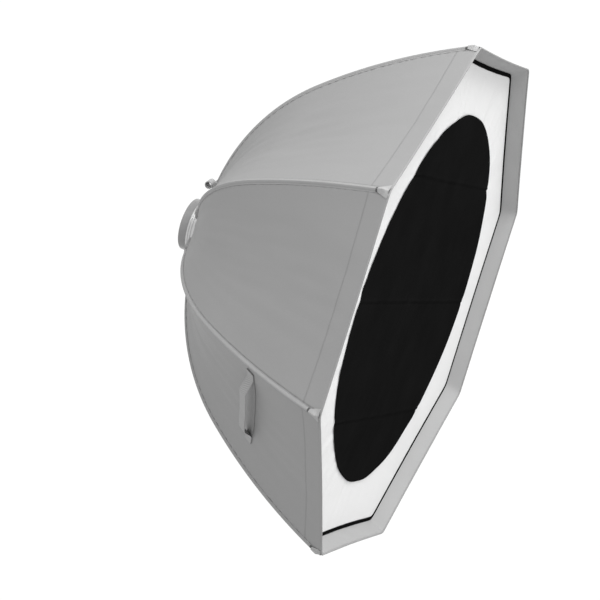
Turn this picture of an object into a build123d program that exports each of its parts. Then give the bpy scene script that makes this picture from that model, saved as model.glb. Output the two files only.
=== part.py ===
"""Eight-sided folding softbox with a recessed front diffuser, on a rotating lamp mount.

Millimetres. The optical axis is Y: the mouth faces -Y, the lamp comes in from +Y, and Z is up. The
origin is the rear mouth of the rubber collar that grips the lamp. Depths are counted from the plane
of the mouth towards the lamp.
"""

import os
from math import asin, atan, cos, degrees, radians, sin, sqrt, tan

from build123d import *

os.makedirs("parts", exist_ok=True)

# ---------------------------------------------------------------- driving dimensions
sides = 8
mouth_radius = 600.0  # axis to a corner of the mouth: 1200 mm from corner to corner
shell_depth = 536.5  # mouth to the point where the ribs' bent length ends
rib_mouth_angle = 21.8  # a rib's slope at the mouth, from the optical axis
rib_hub_angle = 77.0  # a rib's slope at the hub, from the optical axis

gap = 0.3  # clearance between pieces that move, or soft pieces that touch
slip = 0.1  # clearance between pieces that fit and stay

# cloth
shell_cloth = 1.2
diffuser_cloth = 1.0
tape_thickness = 1.0
recess_depth = 35.4  # the front diffuser lies this far behind the mouth
recess_inset = 24.0  # a corner of the recess lies this far inside a corner of the mouth
lip_corner_radius = 60.0
binding_width = 8.0
binding_thickness = 2.4
disc_radius = 420.0  # black centre disc
loop_tape_width = 22.0
hub_opening_inset = 4.0  # the hole in the shell is this much smaller than the ribs' bent length
gore_run_in = 40.0  # straight end of a gore past the ribs' bent length, before that hole is cut

# ribs
rod_radius = 3.5
sleeve_radius = 7.0
sleeve_wall = 1.1
sleeve_setback = 20.0  # the sleeves end this far behind the mouth
tip_length = 14.0
tip_wall = 1.6
rod_engagement = 18.0  # straight end of a rod inside its socket
patch_half_width = 16.0
tip_cover = 3.2  # a rod tip shows this far past the end of its sleeve

# inner baffle
baffle_depth = 240.0
baffle_radius = 400.0  # axis to a corner of the baffle
strap_width = 20.0
strap_overlap = 30.0  # length of a strap that is sewn to the baffle
button_radius = 6.0
button_height = 4.0

# grab handle
handle_gore = 5  # counted round from the +X side
handle_depth = 216.0
handle_seam_inset = 13.9  # from the middle of the seam to the nearer end of the handle
handle_length = 266.0
handle_tab = 34.0
handle_rise = 25.0
handle_bend = 11.25
handle_width = 22.0
handle_webbing = 1.8
handle_slant = 5.5

# webbing loop at the hub end of one seam
loop_rib = 2  # counted round from the first rib
loop_radius = 9.0
loop_webbing = 1.6
loop_width = 20.0
loop_setback = 8.0  # from the end of the rib's bent length to the middle of the loop

# lamp mount
lamp_radius = 50.0  # bore of the rubber collar
collar_wall = 4.6
collar_length = 25.0
barrel_wall = 2.2
barrel_lip = 2.0
barrel_lip_edge = 1.5
cap_wall = 2.8
cap_length = 18.0  # skirt of the rear cap
cap_bore_step = 2.0  # the cap's hole is this much wider than the lamp
clamp_ring_wall = 6.7
clamp_ring_length = 17.4
clamp_groove = 1.2
clamp_groove_places = (6.3, 11.8)  # middle of each groove, from the ring's front
clamp_ring_edge = 0.8
squeeze_travel = 1.8  # the push ring moves this far against the collar
push_ring_length = 5.0
push_ring_bore_step = 1.0  # the push ring's hole is this much wider than the lamp
drive_pin_radius = 1.5
drive_pins = 3
drive_pin_reach = 2.6  # out of the barrel, into the clamp ring
drive_pin_step = 1.5  # a pin starts this far outside the lamp
shoulder_step = 4.0  # out from the barrel
shoulder_length = 1.7
bearing_ring_step = 7.0  # out from the clamp ring
bearing_ring_length = 4.7
bearing_ring_slit = 1.0
bearing_split_angle = 173.0
journal_bore_step = 1.2  # the journal's bore is this much wider than the lamp
journal_wall = 3.8
bush_wall = 1.9
hub_boss_wall = 5.6
hub_boss_length = 18.2
hub_boss_step = 2.0  # the boss stands this far in front of the hub plate
washer_thickness = 0.9
retainer_step = 3.1  # out from the hub boss
retainer_length = 3.6
retainer_edge = 1.0

# hub plate and rod sockets
hub_plate_thickness = 5.0
socket_seat = 7.0  # rod centre line above the hub plate's rear face, at the hub joint
socket_clearance = 9.0  # from the bearing ring to a socket's inner face
socket_length = 44.0
socket_overhang = 12.0  # a socket stands this far out past the hub plate
socket_joint_inset = 20.0  # a rib's bent length ends this far outside its socket's inner face
socket_wall = 2.6  # over the rod's bore
socket_width = 22.0
socket_edge = 3.0
socket_bore_clearance = 0.7
screw_radius = 2.0
screw_head_radius = 3.6
screw_head_length = 2.4
screw_length = 10.0
socket_screw_inset = 2.0  # the screws' row is this much smaller than the ribs' bent length
socket_screw_offsets = (-7.4, 7.4)

# ---------------------------------------------------------------- derived places
half = 180 / sides
step = 360 / sides
pin_angles = [90 + 360 / drive_pins * pin for pin in range(drive_pins)]
barrel_inner = lamp_radius + collar_wall + 2 * slip
barrel_outer = barrel_inner + barrel_wall
drive_pin_start = lamp_radius + drive_pin_step
drive_pin_end = barrel_outer + drive_pin_reach
cap_inner = barrel_outer + slip
cap_outer = cap_inner + cap_wall
clamp_ring_radius = barrel_outer + gap + clamp_ring_wall
shoulder_radius = barrel_outer + shoulder_step
bearing_ring_radius = clamp_ring_radius + bearing_ring_step
journal_bore = lamp_radius + journal_bore_step
journal_radius = journal_bore + journal_wall
collar_front = -collar_length
push_ring_rear = collar_front - squeeze_travel - gap
push_ring_front = push_ring_rear - push_ring_length
pocket_front = push_ring_front - gap
pin_y = (push_ring_front + push_ring_rear) / 2
slot_front = pin_y - drive_pin_radius - gap
slot_rear = pin_y + squeeze_travel + drive_pin_radius + gap
clamp_ring_rear = -cap_length - gap
clamp_ring_front = clamp_ring_rear - clamp_ring_length
shoulder_rear = clamp_ring_front - gap
shoulder_front = shoulder_rear - shoulder_length
bearing_rear = shoulder_front
bearing_front = bearing_rear - bearing_ring_length
boss_rear = bearing_front - gap
boss_front = boss_rear - hub_boss_length
washer_rear = boss_front - gap
washer_front = washer_rear - washer_thickness
retainer_rear = washer_front - gap
retainer_front = retainer_rear - retainer_length
bush_inner = journal_radius + gap
bush_outer = bush_inner + bush_wall
boss_inner = bush_outer + slip
boss_outer = boss_inner + hub_boss_wall
retainer_radius = boss_outer + retainer_step
socket_inner_radius = bearing_ring_radius + socket_clearance
socket_outer_radius = socket_inner_radius + socket_length
hub_joint_radius = socket_inner_radius + socket_joint_inset
hub_opening_radius = hub_joint_radius - hub_opening_inset
hub_plate_radius = socket_outer_radius - socket_overhang
socket_screw_place = hub_joint_radius - socket_screw_inset
socket_cover = rod_radius + socket_bore_clearance + socket_wall  # rod centre line to the socket's top
recess_radius = mouth_radius - recess_inset
plate_rear = boss_front + hub_boss_step + hub_plate_thickness
plate_front = plate_rear - hub_plate_thickness
hub_joint_y = plate_rear + socket_seat
mouth_y = hub_joint_y - shell_depth

# ---------------------------------------------------------------- the rib curve
# Two arcs that share a tangent, in the plane of a rib: X is the radius and Y is the depth.
mouth_tangent = Vector(-sin(radians(rib_mouth_angle)), cos(radians(rib_mouth_angle)))
hub_tangent = Vector(-sin(radians(rib_hub_angle)), cos(radians(rib_hub_angle)))
rib_start = Vector(mouth_radius, 0)
rib_end = Vector(hub_joint_radius, shell_depth)
rib_chord = rib_end - rib_start
both = mouth_tangent + hub_tangent
spread = 2 * (1 - mouth_tangent.dot(hub_tangent))
pull = (sqrt(rib_chord.dot(both) ** 2 + spread * rib_chord.dot(rib_chord)) - rib_chord.dot(both)) / spread
front_handle = rib_start + mouth_tangent * pull
rear_handle = rib_end - hub_tangent * pull
rib_middle = (front_handle + rear_handle) / 2
middle_tangent = (rear_handle - front_handle).normalized()


def outward(tangent):
    """The direction away from the softbox's inside, across a tangent of the rib curve."""
    return Vector(tangent.Y, -tangent.X)


def rib_points(offset):
    """The start, middle and end of the rib curve, moved outwards by offset."""
    stations = ((rib_start, mouth_tangent), (rib_middle, middle_tangent), (rib_end, hub_tangent))
    return [point + outward(tangent) * offset for point, tangent in stations]


def rib_arcs(offset):
    """Draws the rib curve, moved outwards by offset, in the line that is open."""
    start, middle, end = rib_points(offset)
    TangentArc(start, middle, tangent=mouth_tangent)
    TangentArc(middle, end, tangent=middle_tangent)


def rib_place(depth):
    """The rib curve's radius and slope in degrees at a depth from the mouth."""
    if depth < rib_middle.Y:
        point, tangent, across = rib_start, mouth_tangent, rib_middle - rib_start
    else:
        point, tangent, across = rib_middle, middle_tangent, rib_end - rib_middle
    inward = outward(tangent) * -1
    bend = across.dot(across) / (2 * across.dot(inward))
    centre = point + inward * bend
    slope = asin((depth - centre.Y) / bend)
    return centre.X + bend * cos(slope), degrees(slope)


def rib_plane(angle):
    """The plane through the optical axis at an angle from +X towards +Z: X is outwards, Y is depth."""
    direction = (cos(radians(angle)), 0, sin(radians(angle)))
    return Plane(origin=(0, mouth_y, 0), x_dir=direction, z_dir=(-direction[2], 0, direction[0]))


def station(point, direction):
    """A plane at a point of the first rib's plane that looks along a direction in it."""
    place = rib_plane(half)
    origin = place.from_local_coords(point)
    return Plane(origin=origin, z_dir=place.from_local_coords(point + direction) - origin)


def across(y):
    """A sketch plane square to the optical axis at y, with X to the right, Y up and normal -Y."""
    return Plane(origin=(0, y, 0), x_dir=(1, 0, 0), z_dir=(0, -1, 0))


def radial_plane(angle, y):
    """A plane on the optical axis at y that looks outwards at an angle, with its X along +Y."""
    direction = (cos(radians(angle)), 0, sin(radians(angle)))
    return Plane(origin=(0, y, 0), x_dir=(0, 1, 0), z_dir=direction)


def screw_place(rib, offset, y):
    """A place beside the numbered rib, offset from it at the screws' radius, with Z to the mouth."""
    turn = Location((0, y, 0), (0, -half - step * rib, 0))
    return turn * Location((socket_screw_place, 0, offset), (90, 0, 0))


def socket_top(radius):
    """The depth of a socket's top at a radius: it follows the straight end of the rod."""
    slope = radians(rib_hub_angle)
    return shell_depth + socket_cover / sin(slope) + (hub_joint_radius - radius) / tan(slope)


def save(piece, name):
    piece.part.label = name
    export_step(piece.part, f"parts/{name}.step")


def turned(piece, number, name):
    """Saves a copy of a piece, turned from the first place to the numbered one round the axis."""
    with BuildPart() as copy:
        add(piece.part, rotation=(0, -step * number, 0))
    save(copy, name)


def ring(inner, outer, front, rear):
    """Adds a plain ring round the optical axis to the part that is open."""
    with BuildSketch(across(rear)) as section:
        Circle(outer)
        Circle(inner, mode=Mode.SUBTRACT)
    extrude(section.sketch, amount=rear - front)


def around(piece, name):
    """Saves one node that holds a copy of a piece at every rib."""
    with BuildPart() as group:
        for number in range(sides):
            add(piece.part, rotation=(0, -step * number, 0))
    save(group, name)


def tube_along_rib(outer, inner=0.0):
    """Sweeps a round section along the first rib and its straight end, in the part that is open."""
    with BuildLine() as course:
        rib_arcs(0)
        Line(rib_end, rib_end + hub_tangent * rod_engagement)
    path = rib_plane(half).location * course.line
    with BuildSketch(Plane(origin=path @ 0, z_dir=path % 0)) as section:
        Circle(outer)
        if inner:
            Circle(inner, mode=Mode.SUBTRACT)
    sweep(section.sketch, path=path)


def octagon_sheet(radius, corner, front, rear, hole=0.0, hole_corner=0.0):
    """Adds a flat octagonal sheet, with rounded corners and an octagonal hole if one is given."""
    with BuildSketch(across(rear)) as outline:
        RegularPolygon(radius, sides, rotation=half)
        fillet(outline.vertices(), corner)
    extrude(outline.sketch, amount=rear - front)
    if hole:
        with BuildSketch(across(rear)) as opening:
            RegularPolygon(hole, sides, rotation=half)
            fillet(opening.vertices(), hole_corner)
        extrude(opening.sketch, amount=rear - front, mode=Mode.SUBTRACT)


# ---------------------------------------------------------------- lamp mount
with BuildPart() as mount_barrel:
    with BuildSketch():
        with BuildLine():
            Polyline(
                (journal_bore, retainer_front),
                (journal_radius, retainer_front),
                (journal_radius, shoulder_front),
                (shoulder_radius, shoulder_front),
                (shoulder_radius, shoulder_rear),
                (barrel_outer, shoulder_rear),
                (barrel_outer, -slip),
                (barrel_inner, -slip),
                (barrel_inner, pocket_front),
                (journal_bore, pocket_front),
                close=True,
            )
        make_face()
    revolve(axis=Axis.Y)
    for angle in pin_angles:
        with BuildSketch(radial_plane(angle, (slot_front + slot_rear) / 2)):
            SlotOverall(slot_rear - slot_front, 2 * (drive_pin_radius + gap))
        extrude(amount=shoulder_radius, mode=Mode.SUBTRACT)
save(mount_barrel, "mount_barrel")

with BuildPart() as rear_cap:
    ring(cap_inner, cap_outer, -cap_length, barrel_lip)
    ring(lamp_radius + cap_bore_step, cap_inner, 0, barrel_lip)
    rear_edges = rear_cap.edges().filter_by(GeomType.CIRCLE).group_by(Axis.Y)[-1]
    fillet(rear_edges.sort_by(SortBy.RADIUS)[-1], barrel_lip_edge)
save(rear_cap, "rear_cap")

with BuildPart() as rubber_collar:
    ring(lamp_radius, lamp_radius + collar_wall, collar_front, 0)
save(rubber_collar, "rubber_collar")

with BuildPart() as push_ring:
    ring(lamp_radius + push_ring_bore_step, barrel_inner - gap, push_ring_front, push_ring_rear)
    for angle in pin_angles:
        with BuildSketch(radial_plane(angle, pin_y)):
            Circle(drive_pin_radius)
        extrude(amount=barrel_outer, mode=Mode.SUBTRACT)
save(push_ring, "push_ring")

with BuildPart() as pins:
    for angle in pin_angles:
        with BuildSketch(radial_plane(angle, pin_y).offset(drive_pin_start)):
            Circle(drive_pin_radius)
        extrude(amount=drive_pin_end - drive_pin_start)
save(pins, "drive_pins")

with BuildPart() as clamp_ring:
    ring(barrel_outer + gap, clamp_ring_radius, clamp_ring_front, clamp_ring_rear)
    ring_edges = clamp_ring.edges().filter_by(GeomType.CIRCLE)
    chamfer(ring_edges.filter_by(lambda edge: edge.radius > clamp_ring_radius - slip), clamp_ring_edge)
    for place in clamp_groove_places:
        with BuildSketch(across(clamp_ring_front + place + clamp_groove)):
            Circle(clamp_ring_radius + clamp_groove)
            Circle(clamp_ring_radius - clamp_groove, mode=Mode.SUBTRACT)
        extrude(amount=2 * clamp_groove, mode=Mode.SUBTRACT)
    with BuildSketch(across(slot_rear)):
        Circle(drive_pin_end + gap)
    extrude(amount=slot_rear - slot_front, mode=Mode.SUBTRACT)
save(clamp_ring, "clamp_ring")

with BuildPart() as bearing_ring:
    ring(journal_radius + slip, bearing_ring_radius, bearing_front, bearing_rear)
    split_place = Location((0, (bearing_front + bearing_rear) / 2, 0), (0, -bearing_split_angle, 0))
    with Locations(split_place * Location((bearing_ring_radius, 0, 0), (45, 0, 0))):
        Box(4 * bearing_ring_length, 4 * bearing_ring_length, bearing_ring_slit, mode=Mode.SUBTRACT)
save(bearing_ring, "bearing_ring")

with BuildPart() as hub_bush:
    ring(bush_inner, bush_outer, boss_front, boss_rear)
save(hub_bush, "hub_bush")

with BuildPart() as friction_washer:
    ring(journal_radius + gap, retainer_radius - retainer_edge, washer_front, washer_rear)
save(friction_washer, "friction_washer")

with BuildPart() as hub_retainer:
    ring(journal_radius + slip, retainer_radius, retainer_front, retainer_rear)
    front_edges = hub_retainer.edges().filter_by(GeomType.CIRCLE).group_by(Axis.Y)[0]
    chamfer(front_edges.sort_by(SortBy.RADIUS)[-1], retainer_edge)
save(hub_retainer, "hub_retainer")

# ---------------------------------------------------------------- hub plate and rod sockets
with BuildPart() as hub_plate:
    ring(boss_inner, boss_outer, boss_front, boss_rear)
    ring(boss_inner, hub_plate_radius, plate_front, plate_rear)
    for rib in range(sides):
        for offset in socket_screw_offsets:
            with Locations(screw_place(rib, offset, plate_front)):
                Cylinder(screw_radius + slip, 3 * hub_plate_thickness, mode=Mode.SUBTRACT)
save(hub_plate, "hub_plate")

with BuildPart() as screws:
    for rib in range(sides):
        for offset in socket_screw_offsets:
            with Locations(screw_place(rib, offset, plate_front)):
                Cylinder(screw_head_radius, screw_head_length, align=(Align.CENTER, Align.CENTER, Align.MIN))
                Cylinder(screw_radius, screw_length, align=(Align.CENTER, Align.CENTER, Align.MAX))
save(screws, "socket_screws")

with BuildPart() as socket:
    with BuildSketch(rib_plane(half)):
        with BuildLine():
            seat = plate_rear - mouth_y
            Polyline(
                (socket_inner_radius, seat),
                (socket_outer_radius, seat),
                (socket_outer_radius, socket_top(socket_outer_radius)),
                (socket_inner_radius, socket_top(socket_inner_radius)),
                close=True,
            )
        make_face()
    extrude(amount=socket_width / 2, both=True)
    upper_edges = socket.edges().filter_by(lambda edge: edge.center().Y > plate_rear + socket_edge)
    fillet(upper_edges, socket_edge)
    with BuildSketch(station(rib_end + hub_tangent * (rod_engagement + slip), hub_tangent * -1)):
        Circle(rod_radius + socket_bore_clearance)
    extrude(amount=socket_outer_radius, mode=Mode.SUBTRACT)
    for offset in socket_screw_offsets:
        with Locations(screw_place(0, offset, plate_rear)):
            Cylinder(
                screw_radius + slip,
                screw_length - hub_plate_thickness + slip,
                align=(Align.CENTER, Align.CENTER, Align.MAX),
                mode=Mode.SUBTRACT,
            )
for rib in range(sides):
    turned(socket, rib, f"rod_socket_{rib + 1}")

# ---------------------------------------------------------------- webbing loop
with BuildPart() as hub_loop:
    loop_lift = socket_cover + gap + loop_radius
    loop_middle = rib_end + outward(hub_tangent) * loop_lift - hub_tangent * loop_setback
    with BuildSketch(rib_plane(half)):
        with Locations(loop_middle):
            Circle(loop_radius)
            Circle(loop_radius - loop_webbing, mode=Mode.SUBTRACT)
    extrude(amount=loop_width / 2, both=True)
turned(hub_loop, loop_rib, "hub_loop")

# ---------------------------------------------------------------- ribs
with BuildPart() as rod:
    tube_along_rib(rod_radius)
    split(bisect_by=across(mouth_y + sleeve_setback), keep=Keep.BOTTOM)
for rib in range(sides):
    turned(rod, rib, f"rib_rod_{rib + 1}")

with BuildPart() as sleeve:
    tube_along_rib(sleeve_radius, sleeve_radius - sleeve_wall)
    split(bisect_by=across(mouth_y + sleeve_setback), keep=Keep.BOTTOM)
    with Locations(Location((0, hub_joint_y, 0), (90, 0, 0))):
        Cylinder(socket_outer_radius + gap, shell_depth / 2, mode=Mode.SUBTRACT)
around(sleeve, "rib_sleeves")

tip_radius = sleeve_radius - sleeve_wall - gap
tip_front = sleeve_setback - tip_cover
tip_rib_radius, tip_slope = rib_place(tip_front)
tip_point = Vector(tip_rib_radius, tip_front)
tip_tangent = Vector(-sin(radians(tip_slope)), cos(radians(tip_slope)))
with BuildPart() as rod_tip:
    with BuildSketch(station(tip_point, tip_tangent)):
        Circle(tip_radius)
    extrude(amount=tip_length)
    chamfer(rod_tip.edges().group_by(Axis.Y)[0], tip_wall)
    with BuildSketch(station(tip_point + tip_tangent * tip_wall, tip_tangent)):
        Circle(rod_radius + slip)
    extrude(amount=tip_length, mode=Mode.SUBTRACT)
around(rod_tip, "rod_tips")

# ---------------------------------------------------------------- shell
with BuildPart() as gore:
    with BuildSketch(rib_plane(-half)):
        with BuildLine():
            inner = rib_points(0)
            outer = rib_points(shell_cloth)
            run_in = hub_tangent * gore_run_in
            TangentArc(inner[0], inner[1], tangent=mouth_tangent)
            TangentArc(inner[1], inner[2], tangent=middle_tangent)
            Polyline(inner[2], inner[2] + run_in, outer[2] + run_in, outer[2])
            TangentArc(outer[1], outer[2], tangent=middle_tangent)
            TangentArc(outer[0], outer[1], tangent=mouth_tangent)
            Line(outer[0], inner[0])
        make_face()
    extrude(amount=2 * mouth_radius * sin(radians(half)) + 4 * sleeve_radius, dir=(0, 0, 1))
    split(bisect_by=rib_plane(-half).offset(sleeve_radius + slip), keep=Keep.TOP)
    split(bisect_by=rib_plane(half).offset(-sleeve_radius - slip), keep=Keep.BOTTOM)
    with Locations(Location((0, hub_joint_y, 0), (90, 0, 0))):
        Cylinder(hub_opening_radius, shell_depth / 2, mode=Mode.SUBTRACT)
    for side in (-1, 1):
        with Locations(Location((0, hub_joint_y, 0), (0, -side * half, 0))):
            Box(
                2 * (socket_outer_radius + gap),
                2 * (socket_top(socket_inner_radius) - shell_depth + socket_seat),
                socket_width + 2 * gap,
                mode=Mode.SUBTRACT,
            )
for number in range(sides):
    turned(gore, number, f"shell_gore_{number + 1}")

with BuildPart() as patch:
    patch_length = sleeve_setback / cos(radians(rib_mouth_angle))
    foot = rib_start + outward(mouth_tangent) * (shell_cloth + slip)
    top = foot + outward(mouth_tangent) * tape_thickness
    for direction in ((0, 0, -1), (-sin(radians(step)), 0, cos(radians(step)))):
        with BuildSketch(rib_plane(half)):
            with BuildLine():
                Polyline(
                    foot,
                    foot + mouth_tangent * patch_length,
                    top + mouth_tangent * patch_length,
                    top,
                    close=True,
                )
            make_face()
        extrude(amount=patch_half_width, dir=direction)
    split(bisect_by=across(mouth_y + tip_front - gap), keep=Keep.TOP)
around(patch, "corner_patches")

with BuildPart() as front_lip:
    for wall, mode in ((0, Mode.ADD), (shell_cloth, Mode.SUBTRACT)):
        with BuildSketch(across(mouth_y)) as rim:
            RegularPolygon(mouth_radius - gap - wall, sides, rotation=half)
            fillet(rim.vertices(), lip_corner_radius)
        with BuildSketch(across(mouth_y + recess_depth)) as rear_rim:
            RegularPolygon(recess_radius + shell_cloth - wall, sides, rotation=half)
            fillet(rear_rim.vertices(), lip_corner_radius)
        loft(ruled=True, mode=mode)
save(front_lip, "front_lip")

with BuildPart() as loop_tape:
    octagon_sheet(
        recess_radius + shell_cloth,
        lip_corner_radius,
        mouth_y + recess_depth,
        mouth_y + recess_depth + tape_thickness,
        recess_radius - loop_tape_width,
        lip_corner_radius - loop_tape_width,
    )
save(loop_tape, "loop_tape")

# ---------------------------------------------------------------- front diffuser
binding_rear = mouth_y + recess_depth - gap
binding_front = binding_rear - binding_thickness
sheet_rear = binding_rear - (binding_thickness - diffuser_cloth) / 2
binding_radius = recess_radius - gap
sheet_radius = binding_radius - binding_width

with BuildPart() as binding:
    octagon_sheet(
        binding_radius,
        lip_corner_radius,
        binding_front,
        binding_rear,
        sheet_radius,
        lip_corner_radius - binding_width,
    )
save(binding, "diffuser_binding")

with BuildPart() as sheet:
    octagon_sheet(sheet_radius, lip_corner_radius - binding_width, sheet_rear - diffuser_cloth, sheet_rear)
save(sheet, "diffuser_sheet")

with BuildPart() as centre_disc:
    with BuildSketch(across(sheet_rear - diffuser_cloth)):
        Circle(disc_radius)
    extrude(amount=diffuser_cloth)
save(centre_disc, "centre_disc")

# ---------------------------------------------------------------- inner baffle
baffle_y = mouth_y + baffle_depth
with BuildPart() as baffle:
    octagon_sheet(baffle_radius, lip_corner_radius, baffle_y - diffuser_cloth, baffle_y)
save(baffle, "inner_baffle")

button_reach = sleeve_radius + slip + button_height
button_depth = baffle_depth + tape_thickness + button_reach * sin(radians(rib_place(baffle_depth)[1]))
button_rib_radius, button_slope = rib_place(button_depth)
button_inward = Vector(-cos(radians(button_slope)), -sin(radians(button_slope)))
button_point = Vector(button_rib_radius, button_depth) + button_inward * (sleeve_radius + slip)
strap_end = button_rib_radius - (button_reach + gap) * cos(radians(button_slope))
with BuildPart() as strap:
    with Locations(Location((0, baffle_y, 0), (0, -half, 0))):
        with Locations((baffle_radius - strap_overlap, 0, 0)):
            Box(
                strap_end - baffle_radius + strap_overlap,
                tape_thickness,
                strap_width,
                align=(Align.MIN, Align.MIN, Align.CENTER),
            )
around(strap, "baffle_straps")

with BuildPart() as button:
    with BuildSketch(station(button_point, button_inward)):
        Circle(button_radius)
    extrude(amount=button_height)
around(button, "baffle_buttons")

# ---------------------------------------------------------------- grab handle
handle_rib_radius, handle_rib_slope = rib_place(handle_depth)
gore_slope = degrees(atan(tan(radians(handle_rib_slope)) * cos(radians(half))))
gore_normal = Vector(cos(radians(gore_slope)), sin(radians(gore_slope)), 0)
handle_middle = handle_length / 2 + handle_seam_inset - handle_rib_radius * sin(radians(half))
gore_middle = Vector(handle_rib_radius * cos(radians(half)), mouth_y + handle_depth, handle_middle)
handle_foot = gore_middle + gore_normal * (shell_cloth + gap)
along = Vector(0, 0, 1).rotate(Axis((0, 0, 0), gore_normal), handle_slant)
handle_plane = Plane(origin=handle_foot, x_dir=along, z_dir=along.cross(gore_normal))
with BuildPart() as handle_base:
    with BuildSketch(handle_plane):
        with Locations((0, handle_webbing / 2)):
            Rectangle(handle_length, handle_webbing)
    extrude(amount=handle_width / 2, both=True)
turned(handle_base, handle_gore, "handle_base")

with BuildPart() as grab_handle:
    reach = handle_length / 2
    level = handle_webbing * 1.5 + slip
    with BuildSketch(handle_plane):
        with BuildLine() as course:
            FilletPolyline(
                (-reach, level),
                (handle_tab - reach, level),
                (handle_tab + handle_rise - reach, handle_rise),
                (reach - handle_tab - handle_rise, handle_rise),
                (reach - handle_tab, level),
                (reach, level),
                radius=handle_bend,
            )
        trace(course.line, handle_webbing)
    extrude(amount=handle_width / 2, both=True)
turned(grab_handle, handle_gore, "grab_handle")
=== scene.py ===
"""Looks of the octagonal softbox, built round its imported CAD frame.

Metres, in the frame of the CAD: the optical axis is Y, the mouth faces -Y and Z is up.
"""

import math
import random
from math import asin, cos, exp, pi, radians, sin, sqrt, tau

import bmesh
import bpy
from mathutils import Matrix, Vector, noise


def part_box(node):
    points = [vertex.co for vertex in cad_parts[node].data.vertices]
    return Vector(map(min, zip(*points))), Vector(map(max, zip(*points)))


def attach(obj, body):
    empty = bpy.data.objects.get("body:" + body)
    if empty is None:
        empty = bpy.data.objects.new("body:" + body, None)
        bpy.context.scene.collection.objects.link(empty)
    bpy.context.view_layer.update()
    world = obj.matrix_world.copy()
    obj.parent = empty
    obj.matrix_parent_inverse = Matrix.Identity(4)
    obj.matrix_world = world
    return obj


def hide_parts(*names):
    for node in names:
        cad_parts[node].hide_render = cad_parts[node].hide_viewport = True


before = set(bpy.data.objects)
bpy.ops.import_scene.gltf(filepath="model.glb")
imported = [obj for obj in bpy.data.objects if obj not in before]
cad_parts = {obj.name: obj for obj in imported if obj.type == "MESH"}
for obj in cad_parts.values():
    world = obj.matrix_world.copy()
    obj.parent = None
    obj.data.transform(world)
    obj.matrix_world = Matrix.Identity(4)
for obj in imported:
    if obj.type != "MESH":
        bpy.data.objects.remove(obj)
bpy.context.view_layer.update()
SIDES = 8
HALF = pi / SIDES
STEP = tau / SIDES
dice = random.Random(11)

# ------------------------------------------------------------------ places, from the frame
gore_low, gore_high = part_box("shell_gore_1")
MOUTH_Y = gore_low.y
MOUTH_APOTHEM = gore_high.x
MOUTH_RADIUS = MOUTH_APOTHEM / cos(HALF)
binding_low, binding_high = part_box("diffuser_binding")
disc_low, disc_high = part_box("centre_disc")
sheet_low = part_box("diffuser_sheet")[0]
lip_low, lip_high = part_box("front_lip")
baffle_low, baffle_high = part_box("inner_baffle")
HUB_RADIUS = 0.100  # where a rib's bent length ends
HUB_Y = -0.0469
RIB_MOUTH_SLOPE = radians(21.8)  # from the optical axis
RIB_HUB_SLOPE = radians(77.0)
SLEEVE_CROWN = 0.0047  # the sleeve's radius over the rod
CROWN_SHARE = 0.5  # of the sleeve's half width
SKIRT_REACH = 0.0072  # from the seam to the sleeve's sewn edge
SKIRT_EDGE_RISE = 0.0011
SLEEVE_WRAP = radians(72)  # how far round the rod the crown reaches
SLEEVE_SETBACK = 0.0205
PATCH_FRONT = 0.003
PATCH_LENGTH = 0.024
PATCH_WIDE = 0.0165
PATCH_NARROW = 0.0062
PATCH_LIFT = 0.0019
PATCH_HUMP = 0.0046
PATCH_HUMP_WIDTH = 0.0062
SLEEVE_END_RADIUS = 0.1245  # the sleeves stop at the rod sockets
HUB_OPENING = 0.0965
RIM_BOW = 0.0035
RECESS_BOW = 0.0035
GORE_SAG = 0.012
GORE_LIFT = 0.0006
CREASE_DEPTH = 0.0022
FINE_CREASE_DEPTH = 0.0012
PUCKER_PITCH = 0.019  # along the seams
PUCKER_DEPTH = 0.00045


# ------------------------------------------------------------------ cloth as cut
DISC_FLAT = (0.84, 0.84)
BAFFLE_FLAT = (0.74, 0.74)


# ------------------------------------------------------------------ camera
VIEW_AZIMUTH = radians(-72.55)
VIEW_ELEVATION = radians(5.62)
VIEW_ROLL = radians(17.15)
VIEW_DISTANCE = 4.848
AIM_RIGHT = 0.0076
AIM_UP = -0.0824
LENS = 131.3


def make_camera():
    data = bpy.data.cameras.new("camera")
    data.lens = LENS
    data.sensor_width = 36
    data.clip_start, data.clip_end = 0.05, 80
    camera = bpy.data.objects.new("camera", data)
    bpy.context.scene.collection.objects.link(camera)
    level = cos(VIEW_ELEVATION)
    back = Vector((sin(VIEW_AZIMUTH) * level, -cos(VIEW_AZIMUTH) * level, sin(VIEW_ELEVATION)))
    right = Vector((cos(VIEW_AZIMUTH), sin(VIEW_AZIMUTH), 0))
    up = back.cross(right)
    aim = Vector((0, MOUTH_Y / 2, 0)) + right * AIM_RIGHT + up * AIM_UP
    turn = Matrix((right, up, back)).transposed() @ Matrix.Rotation(VIEW_ROLL, 3, "Z")
    camera.matrix_world = Matrix.Translation(aim + back * VIEW_DISTANCE) @ turn.to_4x4()
    bpy.context.scene.camera = camera


make_camera()


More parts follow.
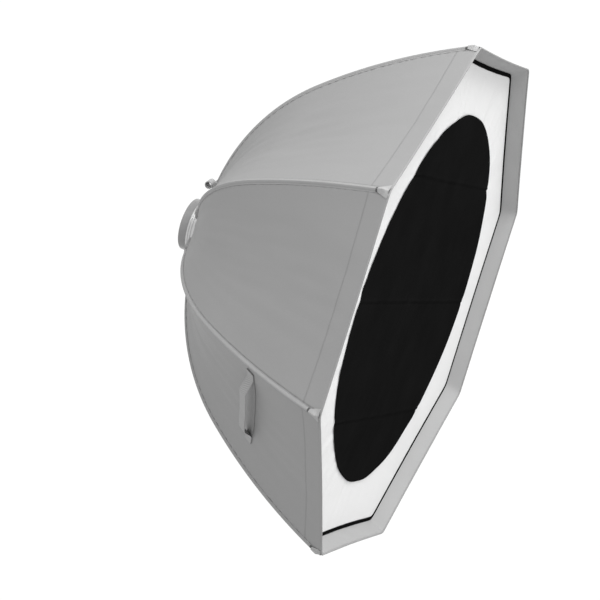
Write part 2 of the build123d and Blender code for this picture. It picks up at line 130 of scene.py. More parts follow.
# ------------------------------------------------------------------ shader writing
class Value:
    """A shader socket that adds Math nodes when it is used in an expression."""

    def __init__(self, finish, socket):
        self.finish = finish
        self.socket = socket

    def maths(self, operation, *values):
        return self.finish.node("ShaderNodeMath", {"operation": operation}, dict(enumerate(values)))

    def __add__(self, other):
        return self.maths("ADD", self, other)

    def __radd__(self, other):
        return self.maths("ADD", other, self)

    def __sub__(self, other):
        return self.maths("SUBTRACT", self, other)

    def __rsub__(self, other):
        return self.maths("SUBTRACT", other, self)

    def __mul__(self, other):
        return self.maths("MULTIPLY", self, other)

    def __rmul__(self, other):
        return self.maths("MULTIPLY", other, self)

    def __truediv__(self, other):
        return self.maths("DIVIDE", self, other)

    def __lt__(self, other):
        return self.maths("LESS_THAN", self, other)

    def __abs__(self):
        return self.maths("ABSOLUTE", self)

    def sine(self):
        return self.maths("SINE", self)

    def fraction(self):
        return self.maths("FRACT", self)

    def soft_step(self, low, high):
        settings = {"interpolation_type": "SMOOTHSTEP"}
        inputs = {"Value": self, "From Min": low, "From Max": high}
        return self.finish.node("ShaderNodeMapRange", settings, inputs)


class Finish:
    """A material with one Principled shader, and the methods that add nodes to it."""

    def __init__(self, name, **constants):
        self.material = bpy.data.materials.new(name)
        self.material.use_nodes = True
        self.tree = self.material.node_tree
        self.shader = self.tree.nodes["Principled BSDF"]
        for socket, value in constants.items():
            self.shader.inputs[socket.replace("_", " ")].default_value = value

    def node(self, kind, settings=None, inputs=None, output=0):
        """Adds a node, with its settings first and then its inputs' values or links."""
        made = self.tree.nodes.new(kind)
        for name, value in (settings or {}).items():
            setattr(made, name, value)
        for name, value in (inputs or {}).items():
            self.feed(made.inputs[name], value)
        return Value(self, made.outputs[output])

    def feed(self, socket, value):
        if isinstance(value, Value):
            self.tree.links.new(value.socket, socket)
        else:
            socket.default_value = value

    def set(self, socket, value):
        self.feed(self.shader.inputs[socket], value)

    def object_place(self):
        return self.node("ShaderNodeTexCoord", output="Object")

    def cloth_place(self):
        """The piece's own UV map, in metres along and across the cloth."""
        place = self.node("ShaderNodeUVMap", {"uv_map": "cloth"})
        split = self.node("ShaderNodeSeparateXYZ", None, {0: place})
        return place, split, Value(self, split.socket.node.outputs[1])

    def noise(self, place, scale, detail=3.0, roughness=0.5):
        inputs = {"Vector": place, "Scale": scale, "Detail": detail, "Roughness": roughness}
        return self.node("ShaderNodeTexNoise", None, inputs)

    def tint(self, factor, dark, light):
        """A colour from dark to light as factor goes from 0 to 1."""
        inputs = {0: factor, 6: (*dark, 1), 7: (*light, 1)}
        return self.node("ShaderNodeMix", {"data_type": "RGBA"}, inputs, output=2)

    def bump(self, height, distance, strength=1.0):
        inputs = {"Height": height, "Distance": distance, "Strength": strength}
        self.set("Normal", self.node("ShaderNodeBump", None, inputs))


def grey(level):
    return (level, level, level)


def weave(finish, across, along, pitch):
    """Plain weave: threads over and under each other, a pitch apart, from 0 to 1."""
    turn = tau / pitch
    return ((across * turn).sine() * (along * turn).sine()) * 0.5 + 0.5


# ------------------------------------------------------------------ materials
HEM_LINE = 0.051  # from the rim to the stitched line
STITCH_PITCH = 0.0042


def shell_cloth_finish():
    """Coated grey nylon, with a fine weave and a stitched line behind the mouth, whose groove has painted
    shade in its base colour.
    """
    finish = Finish("shell_cloth", Roughness=0.62, Specular_IOR_Level=0.25)
    place, across, along = finish.cloth_place()
    clouds = finish.noise(finish.object_place(), 7, 4)
    shade = clouds * 0.5 + finish.noise(place, 240, 2) * 0.5
    finish.set("Roughness", clouds * 0.16 + 0.52)
    threads = weave(finish, across, along, 0.0011)
    from_line = abs(along - HEM_LINE)
    line = 1 - from_line.soft_step(0.0004, 0.0011)
    dashes = ((across / STITCH_PITCH).fraction() < 0.68) * line
    groove_and_painted_shade = 1 - from_line.soft_step(0.0008, 0.0030)
    # Painted shade: the base colour darkens along the stitched groove, the same mask that sinks it in the
    # bump.
    finish.set("Base Color", finish.tint(shade * 0.45 + 0.55 - groove_and_painted_shade * 0.42, grey(0.176), grey(0.24)))
    relief = threads * 0.12 + finish.noise(place, 90, 3) * 0.5 + dashes * 0.7 - groove_and_painted_shade * 1.1
    finish.bump(relief, 0.0006, 0.7)
    return finish.material


def plain_cloth_finish(name, dark, light, roughness=0.7, pitch=0.0011, height=0.0005, sheen=0.1):
    """Cloth of one colour with a weave, soft creases and a little variation."""
    finish = Finish(name, Roughness=roughness, Specular_IOR_Level=0.22, Sheen_Weight=sheen)
    place, across, along = finish.cloth_place()
    shade = finish.noise(finish.object_place(), 9, 4) * 0.6 + finish.noise(place, 300, 2) * 0.4
    finish.set("Base Color", finish.tint(shade, dark, light))
    finish.bump(weave(finish, across, along, pitch) * 0.3 + finish.noise(place, 60, 4), height, 0.6)
    return finish.material


def silver_finish():
    """The reflecting inside of the shell: aluminised cloth with small dents."""
    finish = Finish("silver_lining", Metallic=0.85, Roughness=0.36)
    place = finish.object_place()
    finish.set("Base Color", finish.tint(finish.noise(place, 30), grey(0.62), grey(0.74)))
    finish.set("Roughness", finish.noise(place, 60) * 0.2 + 0.28)
    finish.bump(finish.noise(place, 150, 4), 0.0012, 0.6)
    return finish.material


def black_disc_finish():
    """Opaque black cloth, without gloss: its specular level is nought."""
    finish = Finish("black_cloth", Roughness=0.5, Specular_IOR_Level=0.0)
    place, across, along = finish.cloth_place()
    clouds = finish.noise(finish.object_place(), 12, 4)
    finish.set("Base Color", finish.tint(clouds, grey(0.0052), grey(0.0082)))
    finish.set("Roughness", clouds * 0.2 + 0.42)
    finish.bump(weave(finish, across, along, 0.0009) * 0.2 + finish.noise(place, 70, 4), 0.0006, 0.6)
    return finish.material


def webbing_finish(name, level, pitch=0.0024, gloss=0.2, height=0.0005):
    """Woven tape, with herringbone ribs across it."""
    finish = Finish(name, Roughness=0.66, Specular_IOR_Level=gloss)
    place, across, along = finish.cloth_place()
    ribs = ((along + abs(across) * 0.5) * (tau / pitch)).sine() * 0.5 + 0.5
    finish.set("Base Color", finish.tint(ribs, grey(level * 0.86), grey(level * 1.1)))
    finish.bump(ribs + weave(finish, across, along, pitch / 2) * 0.4, height, 0.8)
    return finish.material


def moulded_finish(name, level, roughness, fine=900.0):
    """Moulded plastic or rubber with a spark-eroded grain."""
    finish = Finish(name, Roughness=roughness, Specular_IOR_Level=0.45)
    place = finish.object_place()
    finish.set("Base Color", finish.tint(finish.noise(place, 22), grey(level * 0.86), grey(level * 1.12)))
    finish.set("Roughness", finish.noise(place, 80) * 0.16 + (roughness - 0.08))
    finish.bump(finish.noise(place, fine, 2), 0.0002, 0.35)
    return finish.material


def turned_metal_finish(name, level, roughness, metallic=1.0):
    """Metal turned on a lathe: fine rings round the optical axis."""
    finish = Finish(name, Metallic=metallic, Roughness=roughness)
    place = finish.object_place()
    split = finish.node("ShaderNodeSeparateXYZ", None, {0: place}, output=1)
    rings = (split * (tau / 0.0006)).sine() * 0.5 + 0.5
    finish.set("Base Color", finish.tint(finish.noise(place, 40), grey(level * 0.9), grey(level * 1.05)))
    finish.set("Roughness", finish.noise(place, 90) * 0.12 + (roughness - 0.06))
    finish.bump(rings + finish.noise(place, 400, 2) * 0.6, 0.00008, 0.5)
    return finish.material


def fibre_finish():
    """Pultruded glass fibre, with streaks along the rod."""
    finish = Finish("glass_fibre", Roughness=0.4)
    place = finish.object_place()
    finish.set("Base Color", finish.tint(finish.noise(place, 120), (0.62, 0.6, 0.5), (0.8, 0.78, 0.68)))
    finish.bump(finish.noise(place, 600, 2), 0.0002, 0.4)
    return finish.material


shell_cloth = shell_cloth_finish()
lip_cloth = plain_cloth_finish("lip_cloth", grey(0.28), grey(0.33), sheen=0.0)
sleeve_cloth = plain_cloth_finish("sleeve_cloth", grey(0.228), grey(0.27), roughness=0.5, sheen=0.0)
silver = silver_finish()
white_cloth = plain_cloth_finish("white_cloth", grey(0.65), grey(0.71), 0.85, height=0.0007, sheen=0.0)
black_cloth = black_disc_finish()
black_tape = webbing_finish("black_tape", 0.006, gloss=0.0)
handle_webbing = webbing_finish("handle_webbing", 0.275, height=0.0002)
# The backing is the handle's webbing made darker: painted shade under the raised strap.
backing_webbing_painted_shade = webbing_finish("backing_webbing_painted_shade", 0.25, height=0.0002)
strap_webbing = webbing_finish("strap_webbing", 0.3)
patch_webbing = webbing_finish("patch_webbing", 0.33)
cap_gloss = moulded_finish("cap_gloss", 0.2, 0.14)
hub_black = moulded_finish("hub_black", 0.1, 0.45)
socket_plastic = moulded_finish("socket_plastic", 0.22, 0.38)
tip_plastic = moulded_finish("tip_plastic", 0.05, 0.4)
collar_rubber = moulded_finish("collar_rubber", 0.035, 0.75)
nylon = moulded_finish("nylon", 0.6, 0.5)
ring_metal = turned_metal_finish("ring_metal", 0.5, 0.34)
screw_steel = turned_metal_finish("screw_steel", 0.55, 0.3)
rod_fibre = fibre_finish()

CAD_FINISHES = {
    "mount_barrel": hub_black,
    "rear_cap": cap_gloss,
    "rubber_collar": collar_rubber,
    "push_ring": nylon,
    "drive_pins": screw_steel,
    "clamp_ring": ring_metal,
    "bearing_ring": ring_metal,
    "hub_bush": nylon,
    "friction_washer": nylon,
    "hub_retainer": hub_black,
    "hub_plate": hub_black,
    "socket_screws": screw_steel,
    "rod_tips": tip_plastic,
    "loop_tape": black_tape,
    "hub_loop": strap_webbing,
    "baffle_straps": strap_webbing,
    "baffle_buttons": tip_plastic,
}


def finish_cad_nodes():
    for name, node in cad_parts.items():
        finish = CAD_FINISHES.get(name)
        if name.startswith("rod_socket"):
            finish = socket_plastic
        if name.startswith("rib_rod"):
            finish = rod_fibre
        if finish:
            node.data.materials.clear()
            node.data.materials.append(finish)


finish_cad_nodes()


# ------------------------------------------------------------------ the rib curve
class RibCurve:
    """Two arcs with a shared tangent, from the mouth to the hub, as radius and depth."""

    def __init__(self):
        start = Vector((MOUTH_RADIUS, 0))
        end = Vector((HUB_RADIUS, HUB_Y - MOUTH_Y))
        first = Vector((-sin(RIB_MOUTH_SLOPE), cos(RIB_MOUTH_SLOPE)))
        last = Vector((-sin(RIB_HUB_SLOPE), cos(RIB_HUB_SLOPE)))
        chord = end - start
        both = first + last
        spread = 2 * (1 - first.dot(last))
        pull = (sqrt(chord.dot(both) ** 2 + spread * chord.dot(chord)) - chord.dot(both)) / spread
        handles = start + first * pull, end - last * pull
        middle = (handles[0] + handles[1]) / 2
        along = (handles[1] - handles[0]).normalized()
        self.arcs = [self.arc(start, first, middle), self.arc(middle, along, end)]
        self.length = sum(arc[3] for arc in self.arcs)

    @staticmethod
    def arc(start, tangent, end):
        """An arc's centre, radius, first slope and length."""
        inward = Vector((-tangent.y, tangent.x))
        across = end - start
        radius = across.dot(across) / (2 * across.dot(inward))
        slope = math.atan2(-tangent.x, tangent.y)
        length = radius * 2 * asin(across.length / (2 * radius))
        return start + inward * radius, radius, slope, length

    def at(self, distance):
        """Radius, depth and slope at a distance along the rib from the mouth."""
        first, second = self.arcs
        centre, radius, slope, _ = first
        run = distance
        if distance > first[3]:
            centre, radius, slope, _ = second
            run = distance - first[3]
        angle = slope + run / radius
        return centre.x + radius * cos(angle), centre.y + radius * sin(angle), angle


rib = RibCurve()


def distance_at_radius(target):
    """How far along the rib its radius falls to a target."""
    low, high = 0.0, rib.length * 1.2
    for _ in range(40):
        middle = (low + high) / 2
        if rib.at(middle)[0] > target:
            low = middle
        else:
            high = middle
    return low


def turned(point, angle):
    """A point turned round the optical axis, from +X towards +Z."""
    across = point.x * cos(angle) - point.z * sin(angle)
    up = point.x * sin(angle) + point.z * cos(angle)
    return Vector((across, point.y, up))


def bell(x, width):
    return exp(-((x / width) ** 2))


def ease(x, low, high):
    share = min(1.0, max(0.0, (x - low) / (high - low)))
    return share * share * (3 - 2 * share)


# ------------------------------------------------------------------ mesh making
def finish_piece(mesh, name, body, materials, smooth=True):
    """Turns a bmesh into a piece that rides on a body."""
    data = bpy.data.meshes.new(name)
    mesh.to_mesh(data)
    mesh.free()
    for material in materials:
        data.materials.append(material)
    if smooth:
        data.shade_smooth()
    piece = bpy.data.objects.new(name, data)
    bpy.context.scene.collection.objects.link(piece)
    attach(piece, body)
    return piece


def away_from_middle(point):
    """The direction from the middle of the softbox's inside."""
    return point - Vector((0, MOUTH_Y * 0.6, 0))


def to_front(_):
    return Vector((0, -1, 0))


def add_cloth(mesh, columns, rows, place, size, wrap=False, facing=None):
    """Adds a grid of cloth to a mesh: place(u, v) gives each point, and size its UV map in metres.

    The cloth's outside is the side that looks along facing(point).
    """
    layer = mesh.loops.layers.uv.get("cloth") or mesh.loops.layers.uv.new("cloth")
    made = bmesh.ops.create_grid(mesh, x_segments=columns, y_segments=rows, size=0.5)["verts"]
    shares = {vert: (vert.co.x + 0.5, vert.co.y + 0.5) for vert in made}
    faces = {face for vert in made for face in vert.link_faces}
    for face in faces:
        for loop in face.loops:
            u, v = shares[loop.vert]
            loop[layer].uv = (u * size[0], v * size[1])
    for vert, (u, v) in shares.items():
        vert.co = place(u, v)
    outside = facing or away_from_middle
    turns = 0.0
    for face in faces:
        face.normal_update()
        turns += face.normal.dot(outside(face.calc_center_median())) * face.calc_area()
    if turns < 0:
        bmesh.ops.reverse_faces(mesh, faces=list(faces))
    if wrap:
        bmesh.ops.remove_doubles(mesh, verts=made, dist=1e-6)


def thicken(piece, thickness, offset=-1.0, inner=0):
    """Gives cloth its thickness, with another material inside if one is given."""
    solid = piece.modifiers.new("thickness", "SOLIDIFY")
    solid.thickness = thickness
    solid.offset = offset
    solid.material_offset = inner
    return piece


# ------------------------------------------------------------------ shell gores
GORE_COLUMNS = 72
GORE_ROWS = 110
gore_edge = 0.0052  # a gore's side, from the middle of its seam
hub_distance = distance_at_radius(HUB_OPENING / cos(HALF) * 1.01)


def gore_point(number, w, distance, lift=0.0):
    """A point of a gore: w from -1 to 1 across it, distance along it from the mouth, lift outwards."""
    radius, depth, slope = rib.at(distance)
    middle = radius * cos(HALF)
    side = w * (radius * sin(HALF) - gore_edge)
    share = distance / rib.length
    fall = (RIM_BOW + GORE_SAG * sin(pi * min(1, share)) ** 0.8) * (1 - w * w) * ease(1.06 - share, 0, 0.2)
    place = Vector((number * 3.7 + w * 2.4, share * 2.1, 5.2))
    creases = noise.noise(place) * CREASE_DEPTH
    creases += noise.noise(place * 2.7 + Vector((9, 0, 0))) * FINE_CREASE_DEPTH
    wander = 3 * noise.noise(Vector((distance * 30, number, w)))
    pucker = sin(distance * tau / PUCKER_PITCH + wander) * PUCKER_DEPTH
    fall -= creases * (1 - w * w) * ease(share, 0, 0.08)
    fall -= pucker * bell(1 - abs(w), 0.09) * ease(share, 0.02, 0.06)
    across = math.atan(math.tan(slope) * cos(HALF))
    normal = Vector((cos(across), sin(across), 0))
    point = Vector((middle, MOUTH_Y + depth, side)) + normal * (lift - fall)
    return turned(point, number * STEP)


def hub_edge(w):
    """The distance along a gore at which it ends round the hub, a share w across it."""
    return hub_distance - 0.004 * (1 - w * w)


def make_gores():
    for number in range(SIDES):
        mesh = bmesh.new()

        def place(u, v, number=number):
            w = 2 * u - 1
            return gore_point(number, w, v * hub_edge(w), GORE_LIFT)

        size = (2 * MOUTH_RADIUS * sin(HALF), rib.length)
        add_cloth(mesh, GORE_COLUMNS, GORE_ROWS, place, size)
        piece = finish_piece(mesh, f"gore_cloth_{number + 1}", "softbox", [shell_cloth, silver])
        thicken(piece, 0.0008, inner=1)
        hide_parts(f"shell_gore_{number + 1}")


make_gores()


# ------------------------------------------------------------------ seams: sleeves over the ribs
def rib_frame(number, distance):
    """A rib's point, its outward direction, and the two directions that lead into its gores."""
    radius, depth, slope = rib.at(distance)
    angle = HALF + number * STEP
    point = turned(Vector((radius, MOUTH_Y + depth, 0)), angle)
    outward = turned(Vector((cos(slope), sin(slope), 0)), angle)
    sides = [turned(Vector((0, 0, side)), angle + side * HALF) for side in (-1, 1)]
    return point, outward, sides


def make_sleeves():
    mesh = bmesh.new()
    first = SLEEVE_SETBACK / cos(RIB_MOUTH_SLOPE)
    last = distance_at_radius(SLEEVE_END_RADIUS)
    for number in range(SIDES):

        def place(u, v, number=number):
            distance = first + (last - first) * v
            point, outward, sides = rib_frame(number, distance)
            toward = (u - 0.5) * 2
            side = sides[0] if toward < 0 else sides[1]
            wander = 1 + 0.07 * noise.noise(Vector((distance * 30, number * 5, toward)))
            crown = min(1.0, abs(toward) / CROWN_SHARE)
            angle = crown * SLEEVE_WRAP
            run, rise = SLEEVE_CROWN * sin(angle), SLEEVE_CROWN * cos(angle)
            skirt = max(0.0, abs(toward) - CROWN_SHARE) / (1 - CROWN_SHARE)
            run += (SKIRT_REACH * wander - run) * skirt
            rise += (SKIRT_EDGE_RISE - rise) * (1 - (1 - skirt) ** 2.6)
            return point + side * run + outward * rise

        add_cloth(mesh, 30, 150, place, (0.03, last - first))
    piece = finish_piece(mesh, "sleeve_cloth", "softbox", [sleeve_cloth])
    thicken(piece, 0.0007)
    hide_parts("rib_sleeves")


make_sleeves()


def make_patches():
    """Reinforcing patches over the front ends of the rods: wide at the rim and narrow at the sleeve."""
    mesh = bmesh.new()
    for number in range(SIDES):

        def place(u, v, number=number):
            distance = PATCH_FRONT + PATCH_LENGTH * v
            point, outward, sides = rib_frame(number, distance)
            toward = (u - 0.5) * 2
            run = abs(toward) * (PATCH_WIDE + (PATCH_NARROW - PATCH_WIDE) * v)
            side = sides[0] if toward < 0 else sides[1]
            hump = PATCH_HUMP * bell(run, PATCH_HUMP_WIDTH) * ease(v, 0.1, 0.45)
            return point + side * run + outward * (PATCH_LIFT + hump)

        add_cloth(mesh, 30, 22, place, (2 * PATCH_WIDE, PATCH_LENGTH))
    piece = finish_piece(mesh, "patch_cloth", "softbox", [patch_webbing])
    thicken(piece, 0.0012)
    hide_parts("corner_patches")


make_patches()


# ------------------------------------------------------------------ octagons with drawn-in sides
def octagon(angle, apothem, sharpness, bow=0.0):
    """The radius of an octagon with rounded corners, whose sides are drawn in by bow."""
    reach = sum(max(0.0, cos(angle - number * STEP)) ** sharpness for number in range(SIDES))
    along = ((angle / STEP + 0.5) % 1) * 2 - 1
    return apothem / reach ** (1 / sharpness) - bow * (1 - along * along)


def round_point(angle, radius, y):
    return Vector((radius * cos(angle), y, radius * sin(angle)))


RIM_SHARPNESS = 200
RECESS_SHARPNESS = 130
recess_apothem = binding_high.x + 0.0014


def make_lip():
    """The cloth lip that slopes from the rim down to the recessed diffuser."""
    mesh = bmesh.new()
    depth = lip_high.y - lip_low.y

    def place(u, v):
        angle = u * tau
        rim = octagon(angle, MOUTH_APOTHEM - 0.001, RIM_SHARPNESS, RIM_BOW)
        recess = octagon(angle, recess_apothem, RECESS_SHARPNESS, RECESS_BOW)
        radius = rim + (recess - rim) * v
        ripple = 0.0012 * noise.noise(Vector((cos(angle) * 9, sin(angle) * 9, v * 1.5)))
        return round_point(angle, radius + ripple * sin(pi * v), MOUTH_Y + 0.0004 + depth * v)

    def facing(point):
        return Vector((-point.x, -0.3, -point.z))

    add_cloth(mesh, 640, 10, place, (tau * MOUTH_APOTHEM, 0.046), wrap=True, facing=facing)
    piece = finish_piece(mesh, "lip_cloth", "softbox", [lip_cloth])
    thicken(piece, 0.0009, offset=1.0)
    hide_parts("front_lip")


def make_rim():
    """A bound roll of cloth along the rim, where the gores meet the lip."""
    mesh = bmesh.new()
    thick = 0.0019

    def place(u, v):
        angle, turn = u * tau, v * tau
        radius = octagon(angle, MOUTH_APOTHEM - 0.0012, RIM_SHARPNESS, RIM_BOW)
        swell = thick * (1 + 0.12 * noise.noise(Vector((cos(angle) * 60, sin(angle) * 60, 0))))
        return round_point(angle, radius + swell * cos(turn), MOUTH_Y + 0.0006 + swell * sin(turn))

    add_cloth(mesh, 640, 10, place, (tau * MOUTH_APOTHEM, 0.012), wrap=True)
    piece = finish_piece(mesh, "rim_binding", "softbox", [sleeve_cloth])


make_lip()
make_rim()


# ------------------------------------------------------------------ front diffuser
DISC_RADIUS = disc_high.x
SEAMS = (0.267, -0.005, -0.268)  # heights of the seams across the black disc
PLEAT_BOW = 0.9  # the disc's pleats bow towards +X in the middle
white_waves = [(dice.randint(14, 90), dice.uniform(0, tau), dice.uniform(0.4, 1.0)) for _ in range(16)]


def white_wrinkle(angle, radius):
    """How far the white cloth stands off its plane: soft folds that run out from the disc."""
    total = 0.0
    for count, phase, size in white_waves:
        total += size * cos(count * angle + phase) * (22 / (count + 12))
    fold = noise.noise(Vector((cos(angle) * 11, sin(angle) * 11, radius * 4)))
    near_disc = bell(radius - DISC_RADIUS, 0.075)
    return 0.0005 * total * (0.35 + 0.9 * near_disc) * (0.6 + fold)


def make_binding():
    """The black tape that is folded over the edge of the diffuser."""
    mesh = bmesh.new()
    width = 0.0088
    front, rear = binding_low.y, binding_high.y

    def place(u, v):
        angle = u * tau
        outer = octagon(angle, recess_apothem - 0.0004, RECESS_SHARPNESS, RECESS_BOW)
        wander = 0.0005 * noise.noise(Vector((cos(angle) * 25, sin(angle) * 25, 3)))
        corners = ((0, rear), (0, front), (width, front), (width, rear), (0, rear))
        index = min(3, int(v * 4))
        share = v * 4 - index
        inset = corners[index][0] + (corners[index + 1][0] - corners[index][0]) * share
        y = corners[index][1] + (corners[index + 1][1] - corners[index][1]) * share
        return round_point(angle, outer - inset + wander, y)

    add_cloth(mesh, 640, 8, place, (tau * recess_apothem, 0.022), wrap=True)
    piece = finish_piece(mesh, "binding_tape", "front_diffuser", [black_tape], smooth=False)
    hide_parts("diffuser_binding")
    return piece


def make_white_sheet():
    mesh = bmesh.new()
    y = sheet_low.y + 0.0004

    def place(u, v):
        x, z = 2 * u - 1, 2 * v - 1
        share = max(abs(x), abs(z))
        angle = math.atan2(z, x)
        edge = octagon(angle, recess_apothem - 0.006, RECESS_SHARPNESS, RECESS_BOW)
        radius = share * edge
        hold = ease(1 - share, 0, 0.05) * ease(radius, 0.3, 0.4)
        return round_point(angle, radius, y - white_wrinkle(angle, radius) * hold)

    add_cloth(mesh, 215, 215, place, (1.064, 1.064), facing=to_front)
    piece = finish_piece(mesh, "diffuser_cloth", "front_diffuser", [white_cloth])
    thicken(piece, 0.0006, offset=0)
    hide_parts("diffuser_sheet")
    bound = [make_binding()]


def seam_offset(x, seam):
    """How far a seam strays from its level across the disc."""
    return 0.002 * noise.noise(Vector((x * 6, seam * 7, 1))) + 0.001 * noise.noise(Vector((x * 22, seam, 4)))


pleats = [(dice.uniform(60, 330), dice.uniform(0, tau), dice.uniform(0.3, 1.0)) for _ in range(14)]


def disc_relief(x, z):
    """How far the black cloth stands off its plane: pleats between the seams, and the seams."""
    total = 0.0
    nearest = min(abs(z - seam) for seam in SEAMS)
    lean = 0.03 * noise.noise(Vector((x * 3, z * 3, 8)))
    bay = sum(z > seam for seam in SEAMS)
    for wave, phase, size in pleats:
        total += size * sin(wave * (x + PLEAT_BOW * z * z + lean) + phase + bay * 2.3) * (110 / (wave + 60))
    envelope = 0.35 + 0.65 * bell(nearest, 0.07)
    patch = 0.55 + 0.75 * noise.noise(Vector((x * 5, z * 4, 2)))
    relief = 0.00055 * total * envelope * patch
    for seam in SEAMS:
        away = z - seam - seam_offset(x, seam)
        relief *= 1 - 0.85 * bell(away, 0.004)
        relief += 0.0016 * bell(away - 0.0022, 0.0022) - 0.0012 * bell(away + 0.0026, 0.002)
    return relief


def disc_edge(angle):
    """The disc's radius: a hand-cut circle, drawn in where a seam ends."""
    uneven = 0.004 * noise.noise(Vector((cos(angle) * 4, sin(angle) * 4, 6)))
    edge = DISC_RADIUS - 0.002 + 0.006 * sin(2 * angle) + uneven
    for seam in SEAMS:
        edge -= 0.005 * bell(edge * sin(angle) - seam, 0.012)
    return edge


def make_disc():
    mesh = bmesh.new()
    y = disc_low.y

    def place(u, v):
        x, z = 2 * u - 1, 2 * v - 1
        share = max(abs(x), abs(z))
        angle = math.atan2(z, x)
        point = round_point(angle, share * disc_edge(angle), y)
        hold = ease(1 - share, -0.05, 0.03)
        point.y -= 0.0012 + disc_relief(point.x, point.z) * hold
        return point

    add_cloth(mesh, 218, 218, place, DISC_FLAT, facing=to_front)
    piece = finish_piece(mesh, "disc_cloth", "front_diffuser", [black_cloth])
    thicken(piece, 0.0008, offset=-1)
    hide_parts("centre_disc")


make_white_sheet()
make_disc()


# ------------------------------------------------------------------ inner baffle
def make_baffle():
    mesh = bmesh.new()
    y = (baffle_low.y + baffle_high.y) / 2

    def place(u, v):
        x, z = 2 * u - 1, 2 * v - 1
        share = max(abs(x), abs(z))
        angle = math.atan2(z, x)
        radius = share * octagon(angle, baffle_high.x, 80, 0.012)
        ripple = 0.003 * noise.noise(Vector((x * 3, z * 3, 2))) * ease(1 - share, 0, 0.2)
        return round_point(angle, radius, y + ripple)

    add_cloth(mesh, 90, 90, place, BAFFLE_FLAT, facing=to_front)
    piece = finish_piece(mesh, "baffle_cloth", "softbox", [white_cloth])
    thicken(piece, 0.0008, offset=0)
    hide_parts("inner_baffle")


make_baffle()


# ------------------------------------------------------------------ grab handle
HANDLE_GORE = 5
HANDLE_DISTANCE = 0.2385
HANDLE_LENGTH = 0.266
HANDLE_INSET = 0.0139  # from the middle of the seam to the nearer end
HANDLE_MIDDLE = HANDLE_LENGTH / 2 + HANDLE_INSET - rib.at(HANDLE_DISTANCE)[0] * sin(HALF)
HANDLE_TAB_LIFT = 0.003
BACKING_LIFT = 0.0013
STRAP_THICKNESS = 0.0019
BACKING_THICKNESS = 0.0014
HANDLE_TAB = 0.022
HANDLE_RISE = 0.0225
HANDLE_WIDTH = 0.022
HANDLE_SLANT = radians(8)


def handle_point(along, across, lift):
    """A point over the handle's gore: along the handle from its middle, across it, and off the cloth."""
    distance = HANDLE_DISTANCE + along * sin(HANDLE_SLANT) + across * cos(HANDLE_SLANT)
    radius = rib.at(distance)[0]
    side = HANDLE_MIDDLE + along * cos(HANDLE_SLANT) - across * sin(HANDLE_SLANT)
    return gore_point(HANDLE_GORE, side / (radius * sin(HALF) - gore_edge), distance, lift)


def strap_section(v):
    """Across and up, round a flat strap's section, as shares of its width and thickness."""
    turn = v * tau
    x, y = cos(turn), sin(turn)
    return math.copysign(abs(x) ** 0.35, x) / 2, math.copysign(abs(y) ** 0.6, y) / 2


def make_strap(name, height, thickness, finish):
    """A flat strap along the handle's line, at a height given for each place along it."""
    mesh = bmesh.new()

    def place(u, v):
        along = (u - 0.5) * HANDLE_LENGTH
        across, up = strap_section(v)
        return handle_point(along, across * HANDLE_WIDTH, height(along) + up * thickness)

    add_cloth(mesh, 120, 28, place, (HANDLE_LENGTH, 2 * HANDLE_WIDTH), wrap=True)
    bmesh.ops.holes_fill(mesh, edges=[edge for edge in mesh.edges if edge.is_boundary])
    bmesh.ops.recalc_face_normals(mesh, faces=mesh.faces)
    return finish_piece(mesh, name, "softbox", [finish])


def handle_height(along):
    reach = HANDLE_LENGTH / 2 - abs(along)
    return HANDLE_TAB_LIFT + HANDLE_RISE * ease(reach, HANDLE_TAB - 0.004, HANDLE_TAB + 0.046)


def make_handle():
    strap = make_strap("handle_strap", handle_height, STRAP_THICKNESS, handle_webbing)
    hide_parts("grab_handle")
    base = make_strap("handle_backing", lambda along: BACKING_LIFT, BACKING_THICKNESS, backing_webbing_painted_shade)
    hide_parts("handle_base")


make_handle()


# ------------------------------------------------------------------ studio
def stage_finish():
    finish = Finish("studio_white", Roughness=1.0, Specular_IOR_Level=0.0, Emission_Strength=1.0)
    finish.set("Base Color", (0.03, 0.03, 0.03, 1))
    finish.set("Emission Color", (1, 1, 1, 1))
    return finish.material


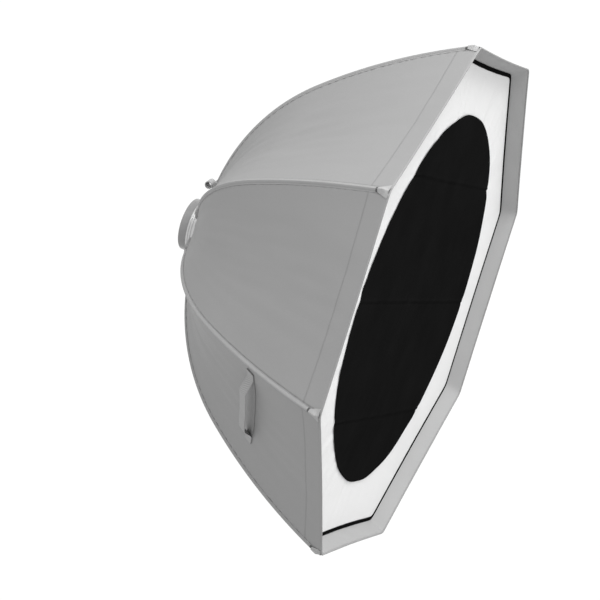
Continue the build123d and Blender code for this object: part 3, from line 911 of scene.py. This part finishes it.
def make_studio():
    """A wide floor that curves up into a wall all round."""
    mesh = bmesh.new()
    floor, reach, bend, height = -1.6, 11.0, 3.0, 9.0
    outline = [(0.01, 0), (reach - bend, 0)]
    outline += [(reach - bend + bend * sin(a * pi / 16), bend - bend * cos(a * pi / 16)) for a in range(1, 8)]
    outline += [(reach, bend), (reach, height)]
    verts = [mesh.verts.new((x, MOUTH_Y / 2, floor + z)) for x, z in outline]
    edges = [mesh.edges.new(pair) for pair in zip(verts, verts[1:])]
    centre = (0, MOUTH_Y / 2, 0)
    bmesh.ops.spin(mesh, geom=verts + edges, cent=centre, axis=(0, 0, 1), angle=tau, steps=64, use_merge=True)
    bmesh.ops.recalc_face_normals(mesh, faces=mesh.faces)
    data = bpy.data.meshes.new("studio")
    mesh.to_mesh(data)
    mesh.free()
    data.materials.append(stage_finish())
    data.shade_smooth()
    studio = bpy.data.objects.new("studio", data)
    bpy.context.scene.collection.objects.link(studio)


def add_light(name, place, size, power):
    """A soft square light that looks at the softbox."""
    data = bpy.data.lights.new(name, "AREA")
    data.shape = "SQUARE"
    data.size = size
    data.energy = power
    lamp = bpy.data.objects.new(name, data)
    lamp.location = place
    aim = Vector((0, MOUTH_Y / 2, 0)) - Vector(place)
    lamp.rotation_euler = aim.to_track_quat("-Z", "Y").to_euler()
    bpy.context.scene.collection.objects.link(lamp)


def make_lights():
    world = bpy.data.worlds.new("sky")
    world.use_nodes = True
    background = world.node_tree.nodes["Background"]
    background.inputs["Color"].default_value = (1, 1, 1, 1)
    background.inputs["Strength"].default_value = 1.0
    bpy.context.scene.world = world
    add_light("top_light", (-0.6, MOUTH_Y / 2 - 1.3, 4.0), 2.4, 150)
    add_light("side_light", (-3.7, MOUTH_Y / 2 - 1.25, 3.1), 1.6, 105)
    for pane in range(1, 3):
        add_light(f"window_pane_{pane + 1}", (-2.6 + 0.34 * pane, 1.5, 1.6 + 0.3 * pane), 0.24, 3)


make_studio()
make_lights()
bpy.context.scene.view_settings.view_transform = "Standard"
